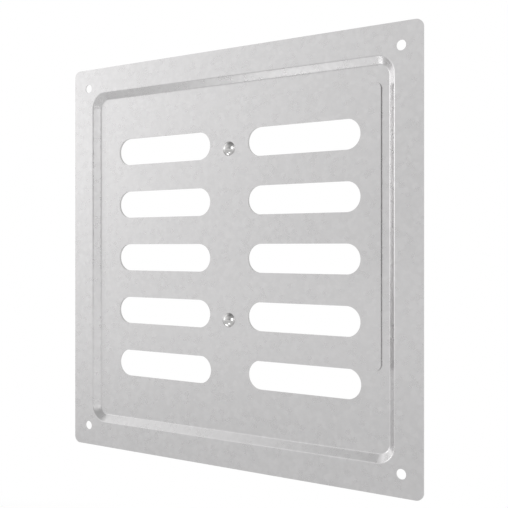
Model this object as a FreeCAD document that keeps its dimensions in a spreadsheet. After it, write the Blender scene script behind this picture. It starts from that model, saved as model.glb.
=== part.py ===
"""Square pressed steel ventilation grille with a sliding shutter.

The grille stands upright as it does on a wall: +Z is up, the front faces -Y and the wall lies on +Y.
The origin is the centre of the four fixing holes, in the back face of the flange.
"""
import FreeCAD, Part
import math
import os
import Sketcher
from FreeCAD import Vector

# Driving dimensions, in millimetres
SIZES = {
    # base plate
    "panel_width": 200.0,
    "panel_height": 200.0,
    "panel_corner_radius": 3.5,
    "base_sheet_thickness": 0.6,
    "fixing_hole_margin": 10.0,
    "fixing_hole_diameter": 4.5,
    # pressed recess: its mouth is the crease where its wall meets the front face of the flange
    "flange_width": 13.1,
    "recess_corner_radius": 8.2,
    "recess_depth": 3.0,
    "recess_wall_width": 3.3,
    "mouth_bend_radius": 0.3,
    "floor_bend_radius": 1.0,
    # ventilation slots, alike in the base and the shutter, placed from the edges of the recess floor
    "slot_rows": 5,
    "slot_side_margin": 13.6,
    "slot_end_margin": 22.0,
    "slot_centre_width": 22.0,
    "slot_lap_height": 0.1,
    # shutter plate
    "shutter_sheet_thickness": 0.6,
    "shutter_side_gap": 3.95,
    "shutter_head_lap_height": 1.0,
    "shutter_corner_radius": 3.0,
    "sliding_gap": 0.1,
    # rivets and washers
    "rivet_drop_height": 2.3,
    "rivet_shank_diameter": 4.0,
    "rivet_head_diameter": 7.0,
    "rivet_head_height": 2.4,
    "rivet_tail_diameter": 6.4,
    "rivet_tail_height": 1.5,
    "rivet_hole_clearance": 0.05,
    "rivet_slot_clearance": 0.15,
    "washer_diameter": 9.0,
    "washer_thickness": 0.8,
}

# Lengths worked out from the driving dimensions, first the recess, half its size each way
MOUTH_X = "(Sizes.panel_width / 2 - Sizes.flange_width)"
MOUTH_Z = "(Sizes.panel_height / 2 - Sizes.flange_width)"
FLOOR_X = f"({MOUTH_X} - Sizes.recess_wall_width)"
FLOOR_Z = f"({MOUTH_Z} - Sizes.recess_wall_width)"
WALL_DRAFT = "atan(Sizes.recess_wall_width / Sizes.recess_depth)"
# Where the sheet bends, the crease of its back face lies this much further out
BACK_CREASE = f"(Sizes.base_sheet_thickness * tan((90 deg - {WALL_DRAFT}) / 2))"

# Slots. The shutter opens and shuts by half a pitch, so that the bars between its slots cover the
# slots of the base with a small lap above and below.
SLOT_LENGTH = f"({FLOOR_X} - Sizes.slot_side_margin - Sizes.slot_centre_width / 2)"
SLOT_CENTRE_X = f"({SLOT_LENGTH} / 2 + Sizes.slot_centre_width / 2)"
SLOT_FIELD = f"(2 * ({FLOOR_Z} - Sizes.slot_end_margin))"
SLOT_LAPS = "(2 * (Sizes.slot_rows - 1) * Sizes.slot_lap_height)"
SLOT_HEIGHT = f"(({SLOT_FIELD} - {SLOT_LAPS}) / (2 * Sizes.slot_rows - 1))"
TRAVEL = f"({SLOT_HEIGHT} + Sizes.slot_lap_height)"
PITCH = f"(2 * {TRAVEL})"
TOP_ROW = f"((Sizes.slot_rows - 1) * {TRAVEL})"
BOTTOM_ROW = f"(-{TOP_ROW})"

# Shutter, rivets and washers
SHUTTER_X = f"({FLOOR_X} - Sizes.shutter_side_gap)"
SHUTTER_HEAD = f"({TOP_ROW} + {SLOT_HEIGHT} / 2 + {TRAVEL} + Sizes.shutter_head_lap_height)"
SHUTTER_FOOT = f"({BOTTOM_ROW} + {SLOT_HEIGHT} / 2 - Sizes.slot_lap_height)"
FLOOR_FRONT = "(Sizes.recess_depth - Sizes.base_sheet_thickness)"
SHUTTER_BACK = f"({FLOOR_FRONT} - Sizes.sliding_gap)"
SHUTTER_FRONT = f"({SHUTTER_BACK} - Sizes.shutter_sheet_thickness)"
WASHER_FRONT = "(Sizes.recess_depth + Sizes.sliding_gap)"
RIVET_GRIP = f"({WASHER_FRONT} + Sizes.washer_thickness - {SHUTTER_FRONT})"
UPPER_RIVET = f"({TOP_ROW} - Sizes.rivet_drop_height)"
LOWER_RIVET = f"({BOTTOM_ROW} + {PITCH} - Sizes.rivet_drop_height)"
RIVET_SPACING = f"({UPPER_RIVET} - {LOWER_RIVET})"
RIVET_SLOT_WIDTH = "(Sizes.rivet_shank_diameter + 2 * Sizes.rivet_slot_clearance)"

ON_PLANE = 1e-4  # millimetres

doc = FreeCAD.newDocument("VentilationGrille")
sheet = doc.addObject("Spreadsheet::Sheet", "Sizes")
for row, (alias, size) in enumerate(SIZES.items(), start=1):
    sheet.set(f"A{row}", alias)
    sheet.set(f"B{row}", str(size))
    sheet.setAlias(f"B{row}", alias)
doc.recompute()


def size_of(expression):
    """The number that an expression gives."""
    return float(sheet.evalExpression(expression))


def new_body(name, label, forward="0", up="0"):
    """A body named after its piece, set at its place along Y and Z."""
    body = doc.addObject("PartDesign::Body", name)
    body.Label = label
    body.setExpression("Placement.Base.y", forward)
    body.setExpression("Placement.Base.z", up)
    return body


def new_sketch(body, name, plane="XZ_Plane", forward=None):
    """A sketch on one of the body's origin planes. One on XZ_Plane can lie further forward, on -Y."""
    sketch = body.newObject("Sketcher::SketchObject", name)
    support = [item for item in body.Origin.OriginFeatures if item.Role == plane][0]
    sketch.AttachmentSupport = [(support, "")]
    sketch.MapMode = "FlatFace"
    if forward:
        sketch.setExpression("AttachmentOffset.Base.z", forward)
    return sketch


def add_size(sketch, name, expression, kind, *geometry):
    """A named size of a sketch that follows an expression."""
    index = sketch.addConstraint(Sketcher.Constraint(kind, *geometry, size_of(expression)))
    sketch.renameConstraint(index, name)
    sketch.setExpression(f"Constraints.{name}", expression)


def join_tangent(sketch, pieces):
    """Join each piece's end to the next one's start, with no corner, all the way round."""
    for piece, following in zip(pieces, pieces[1:] + pieces[:1]):
        sketch.addConstraint(Sketcher.Constraint("Tangent", piece, 2, following, 1))


def add_line(sketch, start, end):
    return sketch.addGeometry(Part.LineSegment(Vector(*start, 0), Vector(*end, 0)))


def add_arc(sketch, centre, radius, start_degrees, end_degrees):
    circle = Part.Circle(Vector(*centre, 0), Vector(0, 0, 1), radius)
    ends = math.radians(start_degrees), math.radians(end_degrees)
    return sketch.addGeometry(Part.ArcOfCircle(circle, *ends))


def add_rounded_rectangle(sketch, right, bottom, top, radius):
    """A rectangle with round corners, centred across, between two heights."""
    x, low, high, r = (size_of(item) for item in (right, bottom, top, radius))
    foot = add_line(sketch, (r - x, low), (x - r, low))
    low_right = add_arc(sketch, (x - r, low + r), r, 270, 360)
    right_side = add_line(sketch, (x, low + r), (x, high - r))
    high_right = add_arc(sketch, (x - r, high - r), r, 0, 90)
    head = add_line(sketch, (x - r, high), (r - x, high))
    high_left = add_arc(sketch, (r - x, high - r), r, 90, 180)
    left_side = add_line(sketch, (-x, high - r), (-x, low + r))
    low_left = add_arc(sketch, (r - x, low + r), r, 180, 270)
    join_tangent(sketch, [foot, low_right, right_side, high_right, head, high_left, left_side, low_left])
    for line in (foot, head):
        sketch.addConstraint(Sketcher.Constraint("Horizontal", line))
    for line in (left_side, right_side):
        sketch.addConstraint(Sketcher.Constraint("Vertical", line))
    for corner in (high_right, high_left, low_left):
        sketch.addConstraint(Sketcher.Constraint("Equal", low_right, corner))
    add_size(sketch, "corner_radius", radius, "Radius", low_right)
    add_size(sketch, "right", right, "DistanceX", -1, 1, right_side, 1)
    add_size(sketch, "left", right, "DistanceX", left_side, 1, -1, 1)
    add_size(sketch, "bottom", bottom, "DistanceY", -1, 1, foot, 1)
    add_size(sketch, "top", top, "DistanceY", -1, 1, head, 1)


def add_level_slot(sketch, across, up, length, height):
    """A level slot with fully round ends."""
    x, z, long_size, high_size = (size_of(item) for item in (across, up, length, height))
    r = high_size / 2
    reach = long_size / 2 - r
    foot = add_line(sketch, (x - reach, z - r), (x + reach, z - r))
    right_end = add_arc(sketch, (x + reach, z), r, -90, 90)
    head = add_line(sketch, (x + reach, z + r), (x - reach, z + r))
    left_end = add_arc(sketch, (x - reach, z), r, 90, 270)
    join_tangent(sketch, [foot, right_end, head, left_end])
    sketch.addConstraint(Sketcher.Constraint("Horizontal", foot))
    add_size(sketch, "end_radius", f"{height} / 2", "Radius", right_end)
    add_size(sketch, "right_centre", f"{across} + ({length} - {height}) / 2", "DistanceX", -1, 1, right_end, 3)
    add_size(sketch, "left_centre", f"{across} - ({length} - {height}) / 2", "DistanceX", -1, 1, left_end, 3)
    add_size(sketch, "centre_height", up, "DistanceY", -1, 1, right_end, 3)


def add_upright_slot(sketch, low_centre, high_centre, width):
    """An upright slot on the centre line, with fully round ends."""
    low, high, r = size_of(low_centre), size_of(high_centre), size_of(width) / 2
    right_side = add_line(sketch, (r, low), (r, high))
    top_end = add_arc(sketch, (0, high), r, 0, 180)
    left_side = add_line(sketch, (-r, high), (-r, low))
    bottom_end = add_arc(sketch, (0, low), r, 180, 360)
    join_tangent(sketch, [right_side, top_end, left_side, bottom_end])
    sketch.addConstraint(Sketcher.Constraint("PointOnObject", top_end, 3, -2))
    sketch.addConstraint(Sketcher.Constraint("PointOnObject", bottom_end, 3, -2))
    add_size(sketch, "end_radius", f"{width} / 2", "Radius", top_end)
    add_size(sketch, "low_centre", low_centre, "DistanceY", -1, 1, bottom_end, 3)
    add_size(sketch, "high_centre", high_centre, "DistanceY", -1, 1, top_end, 3)


def add_circle(sketch, diameter, across=None, up=None):
    """A round hole. Without a place of its own it is centred on the sketch's upright axis or origin."""
    x = size_of(across) if across else 0.0
    z = size_of(up) if up else 0.0
    circle = sketch.addGeometry(Part.Circle(Vector(x, z, 0), Vector(0, 0, 1), size_of(diameter) / 2))
    index = sum(1 for item in sketch.Constraints if item.Type == "Diameter")
    add_size(sketch, f"diameter_{index}", diameter, "Diameter", circle)
    if across:
        add_size(sketch, "across", across, "DistanceX", -1, 1, circle, 3)
    else:
        sketch.addConstraint(Sketcher.Constraint("PointOnObject", circle, 3, -2))
    if up:
        add_size(sketch, "up", up, "DistanceY", -1, 1, circle, 3)
    else:
        sketch.addConstraint(Sketcher.Constraint("PointOnObject", circle, 3, -1))


def pad(body, name, sketch, length, backwards=False):
    """Sheet or block raised from a sketch: forward, on -Y, unless it goes backwards."""
    feature = body.newObject("PartDesign::Pad", name)
    feature.Profile = sketch
    feature.Reversed = backwards
    feature.setExpression("Length", length)
    doc.recompute()
    return feature


def cut_through(body, name, sketch, forwards=False):
    """An opening cut from the sketch through all that lies behind it, or before it."""
    feature = body.newObject("PartDesign::Pocket", name)
    feature.Profile = sketch
    feature.Type = "ThroughAll"
    feature.Reversed = forwards
    doc.recompute()
    return feature


def repeat(body, name, feature, transformations):
    """Copies of a cut, by one pattern after another."""
    pattern = body.newObject("PartDesign::MultiTransform", name)
    pattern.Originals = [feature]
    pattern.Transformations = [make(body, feature.Profile[0]) for make in transformations]
    body.Tip = pattern
    doc.recompute()
    return pattern


def mirror_across(body, sketch):
    """A mirror in the upright axis of the sketch."""
    mirror = body.newObject("PartDesign::Mirrored", sketch.Name + "Across")
    mirror.MirrorPlane = (sketch, ["V_Axis"])
    return mirror


def mirror_up(body, sketch):
    """A mirror in the level axis of the sketch."""
    mirror = body.newObject("PartDesign::Mirrored", sketch.Name + "Up")
    mirror.MirrorPlane = (sketch, ["H_Axis"])
    return mirror


def stack(count, spacing):
    """A row of copies that climbs from the first one."""
    def make(body, sketch):
        rows = body.newObject("PartDesign::LinearPattern", sketch.Name + "Rows")
        rows.Direction = (sketch, ["V_Axis"])
        rows.Mode = "Spacing"
        rows.setExpression("Offset", spacing)
        rows.setExpression("Occurrences", count)
        return rows
    return make


def crease_edges(shape, depth):
    """Names of the edges that ring the recess at one depth from the back of the flange."""
    reach = size_of(MOUTH_X) + size_of(BACK_CREASE) + ON_PLANE
    names = []
    for number, edge in enumerate(shape.Edges, start=1):
        box = edge.BoundBox
        level = abs(box.YMin - depth) < ON_PLANE and abs(box.YMax - depth) < ON_PLANE
        if level and box.XMax < reach and box.XMin > -reach:
            names.append(f"Edge{number}")
    return names


def round_crease(body, name, feature, depth, radius):
    """A bend rounded at one depth, all round the recess."""
    fillet = body.newObject("PartDesign::Fillet", name)
    fillet.Base = (feature, crease_edges(feature.Shape, size_of(depth)))
    fillet.setExpression("Radius", radius)
    doc.recompute()
    return fillet


def cut_vent_slots(body, name, lowest_row, row_count, forwards=False):
    """Two columns of ventilation slots, climbing from the lowest row."""
    sketch = new_sketch(body, name + "Slot")
    add_level_slot(sketch, SLOT_CENTRE_X, lowest_row, SLOT_LENGTH, SLOT_HEIGHT)
    slot = cut_through(body, name + "SlotCut", sketch, forwards)
    return repeat(body, name + "Slots", slot, [stack(row_count, PITCH), mirror_across])


def make_base_plate():
    """Flat flange with fixing holes, pressed back into a shallow recess that holds the slotted floor."""
    body = new_body("BasePlate", "base_plate")
    outline = new_sketch(body, "FlangeOutline")
    add_rounded_rectangle(outline, "Sizes.panel_width / 2", "-Sizes.panel_height / 2",
                          "Sizes.panel_height / 2", "Sizes.panel_corner_radius")
    pad(body, "Flange", outline, "Sizes.base_sheet_thickness")

    back = new_sketch(body, "RecessBackOutline")
    add_rounded_rectangle(back, f"{MOUTH_X} + {BACK_CREASE}", f"-{MOUTH_Z} - {BACK_CREASE}",
                          f"{MOUTH_Z} + {BACK_CREASE}", f"Sizes.recess_corner_radius + {BACK_CREASE}")
    block = pad(body, "RecessBack", back, "Sizes.recess_depth", backwards=True)
    block.setExpression("TaperAngle", f"-{WALL_DRAFT}")

    front = new_sketch(body, "RecessFrontOutline", forward="Sizes.base_sheet_thickness")
    add_rounded_rectangle(front, MOUTH_X, f"-{MOUTH_Z}", MOUTH_Z, "Sizes.recess_corner_radius")
    hollow = body.newObject("PartDesign::Pocket", "RecessFront")
    hollow.Profile = front
    hollow.setExpression("Length", "Sizes.recess_depth")
    hollow.setExpression("TaperAngle", f"-{WALL_DRAFT}")
    doc.recompute()

    bend = round_crease(body, "MouthBendFront", hollow, "-Sizes.base_sheet_thickness",
                        "Sizes.mouth_bend_radius + Sizes.base_sheet_thickness")
    bend = round_crease(body, "MouthBendBack", bend, "0", "Sizes.mouth_bend_radius")
    bend = round_crease(body, "FloorBendFront", bend, FLOOR_FRONT,
                        "Sizes.floor_bend_radius")
    round_crease(body, "FloorBendBack", bend, "Sizes.recess_depth",
                 "Sizes.floor_bend_radius + Sizes.base_sheet_thickness")

    cut_vent_slots(body, "Base", BOTTOM_ROW, "Sizes.slot_rows")

    guide = new_sketch(body, "RivetGuide")
    add_upright_slot(guide, f"{LOWER_RIVET} - {TRAVEL}", LOWER_RIVET, RIVET_SLOT_WIDTH)
    guide_cut = cut_through(body, "RivetGuideCut", guide)
    repeat(body, "RivetGuides", guide_cut, [stack("2", RIVET_SPACING)])

    hole = new_sketch(body, "FixingHole")
    add_circle(hole, "Sizes.fixing_hole_diameter", "Sizes.panel_width / 2 - Sizes.fixing_hole_margin",
               "Sizes.panel_height / 2 - Sizes.fixing_hole_margin")
    hole_cut = cut_through(body, "FixingHoleCut", hole, forwards=True)
    repeat(body, "FixingHoles", hole_cut, [mirror_across, mirror_up])
    return body


def make_shutter_plate():
    """Flat sliding plate with one row of slots less than the base."""
    body = new_body("ShutterPlate", "shutter_plate", forward=SHUTTER_BACK)
    outline = new_sketch(body, "ShutterOutline")
    add_rounded_rectangle(outline, SHUTTER_X, SHUTTER_FOOT, SHUTTER_HEAD, "Sizes.shutter_corner_radius")
    pad(body, "ShutterSheet", outline, "Sizes.shutter_sheet_thickness")
    cut_vent_slots(body, "Shutter", f"{BOTTOM_ROW} + {PITCH}", "Sizes.slot_rows - 1", forwards=True)

    hole = new_sketch(body, "RivetHole")
    add_circle(hole, "Sizes.rivet_shank_diameter + 2 * Sizes.rivet_hole_clearance", up=LOWER_RIVET)
    hole_cut = cut_through(body, "RivetHoleCut", hole, forwards=True)
    repeat(body, "RivetHoles", hole_cut, [stack("2", RIVET_SPACING)])
    return body


def add_cap(sketch, base, radius, height, direction):
    """Section of a domed cap: an arc between its rim and its top, with its centre on the level axis."""
    sphere = (height ** 2 + radius ** 2) / (2 * height)
    half_angle = math.degrees(math.asin(radius / sphere))
    centre = base + direction * (height - sphere)
    if direction < 0:
        cap = add_arc(sketch, (centre, 0), sphere, 180 - half_angle, 180)
    else:
        cap = add_arc(sketch, (centre, 0), sphere, 0, half_angle)
    sketch.addConstraint(Sketcher.Constraint("PointOnObject", cap, 3, -1))
    return cap


def make_rivet(name, label, up):
    """Round-head rivet: its head bears on the shutter and its closed tail bears on the washer."""
    body = new_body(name, label, SHUTTER_FRONT, up)
    profile = new_sketch(body, name + "Profile", "YZ_Plane")
    head_height, head_radius = size_of("Sizes.rivet_head_height"), size_of("Sizes.rivet_head_diameter / 2")
    tail_height, tail_radius = size_of("Sizes.rivet_tail_height"), size_of("Sizes.rivet_tail_diameter / 2")
    grip, shank_radius = size_of(RIVET_GRIP), size_of("Sizes.rivet_shank_diameter / 2")

    head_cap = add_cap(profile, 0, head_radius, head_height, -1)
    axis = add_line(profile, (-head_height, 0), (grip + tail_height, 0))
    tail_cap = add_cap(profile, grip, tail_radius, tail_height, 1)
    tail_seat = add_line(profile, (grip, tail_radius), (grip, shank_radius))
    shank = add_line(profile, (grip, shank_radius), (0, shank_radius))
    head_seat = add_line(profile, (0, shank_radius), (0, head_radius))
    outline = [head_cap, axis, tail_cap, tail_seat, shank, head_seat]
    for piece, following in zip(outline, outline[1:] + outline[:1]):
        profile.addConstraint(Sketcher.Constraint("Coincident", piece, 2, following, 1))
    profile.addConstraint(Sketcher.Constraint("PointOnObject", axis, 1, -1))
    profile.addConstraint(Sketcher.Constraint("PointOnObject", axis, 2, -1))
    profile.addConstraint(Sketcher.Constraint("PointOnObject", head_seat, 1, -2))
    profile.addConstraint(Sketcher.Constraint("Vertical", head_seat))
    profile.addConstraint(Sketcher.Constraint("Horizontal", shank))
    profile.addConstraint(Sketcher.Constraint("Vertical", tail_seat))
    add_size(profile, "head_height", "Sizes.rivet_head_height", "DistanceX", axis, 1, -1, 1)
    add_size(profile, "head_radius", "Sizes.rivet_head_diameter / 2", "DistanceY", -1, 1, head_seat, 2)
    add_size(profile, "shank_radius", "Sizes.rivet_shank_diameter / 2", "DistanceY", -1, 1, shank, 1)
    add_size(profile, "grip", RIVET_GRIP, "DistanceX", shank, 2, shank, 1)
    add_size(profile, "tail_radius", "Sizes.rivet_tail_diameter / 2", "DistanceY", -1, 1, tail_seat, 1)
    add_size(profile, "tail_height", "Sizes.rivet_tail_height", "DistanceX", tail_seat, 1, axis, 2)

    turned = body.newObject("PartDesign::Revolution", name + "Form")
    turned.Profile = profile
    turned.ReferenceAxis = (profile, ["H_Axis"])
    doc.recompute()
    return body


def make_washer(name, label, up):
    """Flat washer that slides on the back of the recess floor and spans the rivet's guide slot."""
    body = new_body(name, label, WASHER_FRONT, up)
    ring = new_sketch(body, name + "Ring")
    add_circle(ring, "Sizes.washer_diameter")
    add_circle(ring, RIVET_SLOT_WIDTH)
    pad(body, name + "Form", ring, "Sizes.washer_thickness", backwards=True)
    return body


def check_model(bodies):
    """Stop where a feature failed, a cut removed nothing, or a piece isn't one valid solid."""
    for item in doc.Objects:
        if "Invalid" in item.State or "Error" in item.State:
            raise RuntimeError(f"{item.Label} failed")
        if item.TypeId in ("PartDesign::Pocket", "PartDesign::MultiTransform"):
            if item.Shape.Volume >= item.BaseFeature.Shape.Volume:
                raise RuntimeError(f"{item.Label} cuts nothing")
    for body in bodies:
        shape = body.Shape
        if shape.isNull() or not shape.isValid() or len(shape.Solids) != 1:
            raise RuntimeError(f"{body.Label} is not one valid solid")
        print(f"{body.Label}: {shape.Volume:.1f} cubic mm, {len(shape.Faces)} faces")


pieces = [
    make_base_plate(),
    make_shutter_plate(),
    make_rivet("UpperRivet", "rivet_upper", UPPER_RIVET),
    make_rivet("LowerRivet", "rivet_lower", LOWER_RIVET),
    make_washer("UpperWasher", "washer_upper", UPPER_RIVET),
    make_washer("LowerWasher", "washer_lower", LOWER_RIVET),
]
doc.recompute()
check_model(pieces)
os.makedirs("parts", exist_ok=True)
for piece in pieces:
    piece.Shape.exportStep(f"parts/{piece.Label}.step")
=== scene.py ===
import math
import bpy
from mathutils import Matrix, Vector

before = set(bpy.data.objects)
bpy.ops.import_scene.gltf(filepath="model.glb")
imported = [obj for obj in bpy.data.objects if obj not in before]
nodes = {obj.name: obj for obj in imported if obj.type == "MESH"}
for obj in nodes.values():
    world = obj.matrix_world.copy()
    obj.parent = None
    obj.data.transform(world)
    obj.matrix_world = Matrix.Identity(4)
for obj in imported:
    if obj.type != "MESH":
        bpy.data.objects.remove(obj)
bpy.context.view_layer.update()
print("frame loaded")

perMetre = 1000.0   # texture scales are given as millimetres across one feature
pureWhite = (1, 1, 1, 1)


# Adds a shader node; an input is either a value or another node's output.
def addNode(tree, kind, inputs=None, **settings):
    node = tree.nodes.new(kind)
    for name, value in settings.items():
        setattr(node, name, value)
    for key, value in (inputs or {}).items():
        socket = node.inputs[key]
        if isinstance(value, bpy.types.NodeSocket):
            tree.links.new(value, socket)
        else:
            socket.default_value = value
    return node


def addMath(tree, operation, *values):
    inputs = dict(enumerate(values))
    return addNode(tree, "ShaderNodeMath", inputs, operation=operation).outputs[0]


def mixColors(tree, factor, first, second):
    inputs = {0: factor, 6: first, 7: second}   # the node's colour sockets
    return addNode(tree, "ShaderNodeMix", inputs, data_type="RGBA").outputs[2]


def mixNumbers(tree, factor, first, second):
    inputs = {0: factor, 2: first, 3: second}   # the node's number sockets
    return addNode(tree, "ShaderNodeMix", inputs).outputs[0]


def newMaterial(name):
    material = bpy.data.materials.new(name)
    material.use_nodes = True
    tree = material.node_tree
    tree.nodes.clear()
    output = addNode(tree, "ShaderNodeOutputMaterial")
    return material, tree, output


def dress(nodeName, material):
    node = nodes[nodeName]
    node.data.materials.clear()
    node.data.materials.append(material)


# Galvanised steel of the base plate and the shutter plate.
galvanised = {
    "tone": (0.644, 0.637, 0.640),
    "spangleSize": 2.2,          # mm across one zinc crystal
    "spangleBlend": 0.7,         # 0 gives hard crystal borders
    "spangleContrast": 0.05,
    "warpScale": 700.0,          # how finely the crystal borders wander
    "warpReach": 0.0014,         # metres
    "warpDetail": 2.0,
    "grainSize": 1.1,            # mm
    "grainDetail": 1.0,
    "grainContrast": 0.025,
    "cloudSize": 22.0,           # mm
    "cloudDetail": 3.0,
    "cloudRoughness": 0.55,
    "cloudContrast": 0.015,
    "roughness": 0.28,
    "roughnessSpread": 0.012,
    "bumpStrength": 0.5,
    "bumpHeight": 0.000002,      # metres
    "cutEdgeTone": (0.62, 0.614, 0.61, 1.0),
    "cutEdgeRoughness": 0.32,
    "cutEdgeFacing": 0.2,        # a face turned less than this to the front is a cut edge
    "baseShift": (0.0, 0.0, 0.0),            # moves the pattern, in metres
    "shutterShift": (0.31, 0.217, 0.403),
}


# Crystals of zinc as blurred cells whose borders wander a little.
def spanglePattern(tree, place):
    warp = addNode(tree, "ShaderNodeTexNoise", {
        "Vector": place, "Scale": galvanised["warpScale"], "Detail": galvanised["warpDetail"]})
    centred = addNode(tree, "ShaderNodeVectorMath", {
        0: warp.outputs["Color"], 1: (-0.5, -0.5, -0.5)}, operation="ADD").outputs[0]
    shift = addNode(tree, "ShaderNodeVectorMath", {
        0: centred, "Scale": galvanised["warpReach"]}, operation="SCALE").outputs[0]
    warped = addNode(tree, "ShaderNodeVectorMath", {0: place, 1: shift}, operation="ADD").outputs[0]
    crystals = addNode(tree, "ShaderNodeTexVoronoi", feature="SMOOTH_F1")
    tree.links.new(warped, crystals.inputs["Vector"])
    crystals.inputs["Scale"].default_value = perMetre / galvanised["spangleSize"]
    crystals.inputs["Smoothness"].default_value = galvanised["spangleBlend"]
    return addNode(tree, "ShaderNodeRGBToBW", {0: crystals.outputs["Color"]}).outputs[0]


# 1 on the sheared edges, which face sideways, and 0 on the faces and the pressed walls.
def cutEdgeMask(tree):
    normal = addNode(tree, "ShaderNodeNewGeometry").outputs["True Normal"]
    across = addNode(tree, "ShaderNodeSeparateXYZ", {0: normal}).outputs["Y"]
    facing = addMath(tree, "ABSOLUTE", across)
    return addMath(tree, "LESS_THAN", facing, galvanised["cutEdgeFacing"])


def galvanisedMaterial(name, patternShift):
    material, tree, output = newMaterial(name)
    coords = addNode(tree, "ShaderNodeTexCoord").outputs["Object"]
    place = addNode(tree, "ShaderNodeVectorMath", {
        0: coords, 1: patternShift}, operation="ADD").outputs[0]
    spangle = spanglePattern(tree, place)
    grain = addNode(tree, "ShaderNodeTexNoise", {
        "Vector": place, "Scale": perMetre / galvanised["grainSize"],
        "Detail": galvanised["grainDetail"]}).outputs["Fac"]
    clouds = addNode(tree, "ShaderNodeTexNoise", {
        "Vector": place, "Scale": perMetre / galvanised["cloudSize"],
        "Detail": galvanised["cloudDetail"],
        "Roughness": galvanised["cloudRoughness"]}).outputs["Fac"]

    # each pattern runs from 0 to 1 and moves the tone up or down by its contrast
    level = 1.0
    spread = 0.0
    for pattern, contrast in (
            (spangle, galvanised["spangleContrast"]),
            (grain, galvanised["grainContrast"]),
            (clouds, galvanised["cloudContrast"])):
        level = addMath(tree, "MULTIPLY_ADD", pattern, 2 * contrast, level)
        spread += contrast
    level = addMath(tree, "SUBTRACT", level, spread)
    sheet = addNode(tree, "ShaderNodeVectorMath", {
        0: galvanised["tone"], "Scale": level}, operation="SCALE").outputs[0]

    cutEdge = cutEdgeMask(tree)
    color = mixColors(tree, cutEdge, sheet, galvanised["cutEdgeTone"])
    sheetRoughness = addNode(tree, "ShaderNodeMapRange", {
        "Value": spangle,
        "To Min": galvanised["roughness"] - galvanised["roughnessSpread"],
        "To Max": galvanised["roughness"] + galvanised["roughnessSpread"]}).outputs[0]
    roughness = mixNumbers(tree, cutEdge, sheetRoughness, galvanised["cutEdgeRoughness"])
    bump = addNode(tree, "ShaderNodeBump", {
        "Height": grain, "Strength": galvanised["bumpStrength"],
        "Distance": galvanised["bumpHeight"]}).outputs[0]
    shader = addNode(tree, "ShaderNodeBsdfPrincipled", {
        "Base Color": color, "Metallic": 1.0, "Roughness": roughness, "Normal": bump})
    tree.links.new(shader.outputs[0], output.inputs[0])
    return material


dress("base_plate", galvanisedMaterial("galvanisedBase", galvanised["baseShift"]))
dress("shutter_plate", galvanisedMaterial("galvanisedShutter", galvanised["shutterShift"]))
print("base plate and shutter plate dressed")

# Bright zinc of the rivets and the washers.
brightZinc = {
    "tone": (0.66, 0.655, 0.65, 1.0),
    "darkTone": (0.56, 0.555, 0.55, 1.0),
    "mottleScale": 700.0,
    "mottleDetail": 3.0,
    "roughness": 0.12,
    "smoothestShare": 0.8,       # of the roughness
    "roughestShare": 1.4,
    "pieces": ("rivet_upper", "rivet_lower", "washer_upper", "washer_lower"),
}


def brightZincMaterial(name):
    material, tree, output = newMaterial(name)
    coords = addNode(tree, "ShaderNodeTexCoord").outputs["Object"]
    mottle = addNode(tree, "ShaderNodeTexNoise", {
        "Vector": coords, "Scale": brightZinc["mottleScale"],
        "Detail": brightZinc["mottleDetail"]}).outputs["Fac"]
    color = mixColors(tree, mottle, brightZinc["darkTone"], brightZinc["tone"])
    roughness = addNode(tree, "ShaderNodeMapRange", {
        "Value": mottle,
        "To Min": brightZinc["roughness"] * brightZinc["smoothestShare"],
        "To Max": brightZinc["roughness"] * brightZinc["roughestShare"]}).outputs[0]
    shader = addNode(tree, "ShaderNodeBsdfPrincipled", {
        "Base Color": color, "Metallic": 1.0, "Roughness": roughness})
    tree.links.new(shader.outputs[0], output.inputs[0])
    return material


zincMaterial = brightZincMaterial("brightZinc")
for nodeName in brightZinc["pieces"]:
    dress(nodeName, zincMaterial)
print("rivets and washers dressed")


# Azimuth runs from the front towards the left, elevation from level upwards, in degrees.
def towards(azimuth, elevation):
    around, up = math.radians(azimuth), math.radians(elevation)
    return Vector((
        -math.sin(around) * math.cos(up),
        -math.cos(around) * math.cos(up),
        math.sin(up)))


# 1 where the camera looks or a gloss or glass ray goes, and 0 for the light on matt surfaces.
def backdropRays(tree):
    rays = addNode(tree, "ShaderNodeLightPath").outputs
    seen = addMath(tree, "MAXIMUM", rays["Is Camera Ray"], rays["Is Glossy Ray"])
    return addMath(tree, "MAXIMUM", seen, rays["Is Transmission Ray"])


# The room: white to the camera, soft light and dark areas to the metal.
studioRoom = {
    "ambient": 0.70,
    "front": 0.60,
    "behind": 0.95,
    "turnStart": 0.05,           # depth of direction where front starts to turn into behind
    "turnEnd": 0.5,
    # azimuth, elevation, sharpness, how much brighter or darker
    "glows": (
        (68, 8, 25.0, 2.10),     # main light, left
        (75, 40, 15.0, 0.92),
        (45, 12, 20.0, 0.53),
        (25, 30, 10.0, 0.43),
        (-62, 10, 40.0, 6.20),   # side light, right
        (60, 20, 10.0, -0.48),
        (-42, 0, 10.0, -0.36),   # dark behind the camera
        (0, 88, 4.0, -0.36),     # dark ceiling
    ),
}


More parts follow.
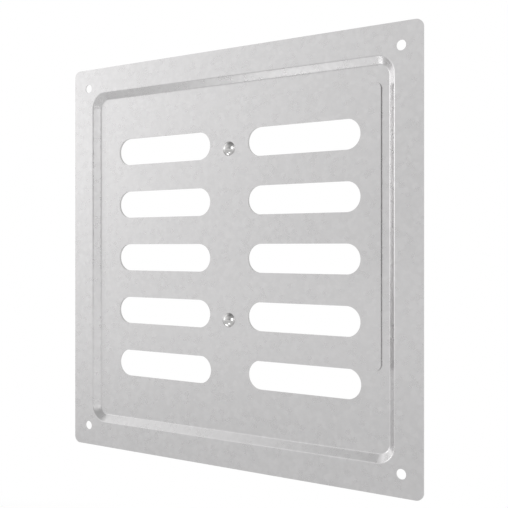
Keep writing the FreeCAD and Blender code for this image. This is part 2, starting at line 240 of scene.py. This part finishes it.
def makeRoom():
    world = bpy.data.worlds.new("studioWorld")
    world.use_nodes = True
    tree = world.node_tree
    tree.nodes.clear()
    output = addNode(tree, "ShaderNodeOutputWorld")
    direction = addNode(tree, "ShaderNodeTexCoord").outputs["Generated"]
    depth = addNode(tree, "ShaderNodeSeparateXYZ", {0: direction}).outputs["Y"]
    level = addNode(tree, "ShaderNodeMapRange", {
        "Value": depth,
        "From Min": studioRoom["turnStart"], "From Max": studioRoom["turnEnd"],
        "To Min": studioRoom["front"], "To Max": studioRoom["behind"],
    }, interpolation_type="SMOOTHSTEP").outputs[0]
    for azimuth, elevation, sharpness, amount in studioRoom["glows"]:
        alike = addNode(tree, "ShaderNodeVectorMath", {
            0: direction, 1: towards(azimuth, elevation)},
            operation="DOT_PRODUCT").outputs["Value"]
        falloff = addMath(tree, "MULTIPLY_ADD", alike, sharpness, -sharpness)
        glow = addMath(tree, "EXPONENT", falloff)
        level = addMath(tree, "MULTIPLY_ADD", glow, amount, level)
    cameraRay = addNode(tree, "ShaderNodeLightPath").outputs["Is Camera Ray"]
    seen = mixNumbers(tree, cameraRay, level, 1.0)
    ambient = addNode(tree, "ShaderNodeBackground", {
        "Color": pureWhite, "Strength": studioRoom["ambient"]})
    backdrop = addNode(tree, "ShaderNodeBackground", {"Color": pureWhite, "Strength": seen})
    mix = addNode(tree, "ShaderNodeMixShader", {
        0: backdropRays(tree), 1: ambient.outputs[0], 2: backdrop.outputs[0]})
    tree.links.new(mix.outputs[0], output.inputs[0])
    bpy.context.scene.world = world


# The floor: matt under the grille, white further out.
studioFloor = {
    "height": -0.30,
    "reach": 6.0,
    "tone": (0.90, 0.90, 0.90, 1.0),
    "centre": (-0.10, -0.60),
    "fadeStart": 0.70,           # metres from the centre
    "fadeEnd": 1.10,
    "lift": 0.34,                # how much white the camera and the metal see in it
}


def makeFloor():
    reach, height = studioFloor["reach"], studioFloor["height"]
    corners = [(-reach, -reach, height), (reach, -reach, height),
               (reach, reach, height), (-reach, reach, height)]
    mesh = bpy.data.meshes.new("studioFloor")
    mesh.from_pydata(corners, [], [(0, 1, 2, 3)])
    floor = bpy.data.objects.new("studioFloor", mesh)
    bpy.context.scene.collection.objects.link(floor)
    material, tree, output = newMaterial("paleFloor")
    place = addNode(tree, "ShaderNodeTexCoord").outputs["Object"]
    away = addNode(tree, "ShaderNodeVectorMath", {
        0: place, 1: (*studioFloor["centre"], height)}, operation="DISTANCE").outputs["Value"]
    fade = addNode(tree, "ShaderNodeMapRange", {
        "Value": away, "From Min": studioFloor["fadeStart"], "From Max": studioFloor["fadeEnd"],
    }, interpolation_type="SMOOTHSTEP").outputs[0]
    lifted = addMath(tree, "MULTIPLY", backdropRays(tree), studioFloor["lift"])
    share = addMath(tree, "MAXIMUM", fade, lifted)
    matt = addNode(tree, "ShaderNodeBsdfDiffuse", {"Color": studioFloor["tone"]})
    white = addNode(tree, "ShaderNodeEmission", {"Color": pureWhite, "Strength": 1.0})
    mix = addNode(tree, "ShaderNodeMixShader", {
        0: share, 1: matt.outputs[0], 2: white.outputs[0]})
    tree.links.new(mix.outputs[0], output.inputs[0])
    mesh.materials.append(material)


# Two weak lamps under the grille, which catch the lower bends and rivets.
underLights = {
    "side": 0.13,                # metres
    "distance": 0.32,
    "spread": 100,               # degrees
    # azimuth, elevation, watts
    "lamps": {"kickerLeft": (90, -57, 0.08), "kickerFront": (-10, -60, 0.025)},
}


def makeUnderLight(name, azimuth, elevation, watts):
    lamp = bpy.data.lights.new(name, "AREA")
    lamp.shape = "SQUARE"
    lamp.size = underLights["side"]
    lamp.energy = watts
    lamp.spread = math.radians(underLights["spread"])
    spot = towards(azimuth, elevation) * underLights["distance"]
    holder = bpy.data.objects.new(name, lamp)
    holder.location = spot
    holder.rotation_euler = (-spot).to_track_quat("-Z", "Y").to_euler()
    holder.visible_camera = False
    bpy.context.scene.collection.objects.link(holder)


# The camera stands to the right and looks level, turned to the left.
studioCamera = {
    "place": (0.23562, -0.33299, 0.00503),
    "turn": 33.442,              # degrees
    "lens": 60.46,               # mm, on a 36 mm sensor
    "sensor": 36.0,
    "shiftUp": -0.01258,
    "nearest": 0.01,
}


def makeCamera():
    camera = bpy.data.objects.new("studioCamera", bpy.data.cameras.new("studioCamera"))
    camera.location = studioCamera["place"]
    camera.rotation_euler = (math.radians(90), 0, math.radians(studioCamera["turn"]))
    camera.data.lens = studioCamera["lens"]
    camera.data.sensor_width = studioCamera["sensor"]
    camera.data.shift_y = studioCamera["shiftUp"]
    camera.data.clip_start = studioCamera["nearest"]
    bpy.context.scene.collection.objects.link(camera)
    bpy.context.scene.camera = camera


makeRoom()
makeFloor()
for lampName, setting in underLights["lamps"].items():
    makeUnderLight(lampName, *setting)
makeCamera()
bpy.context.scene.view_settings.view_transform = "Standard"
print("studio made")
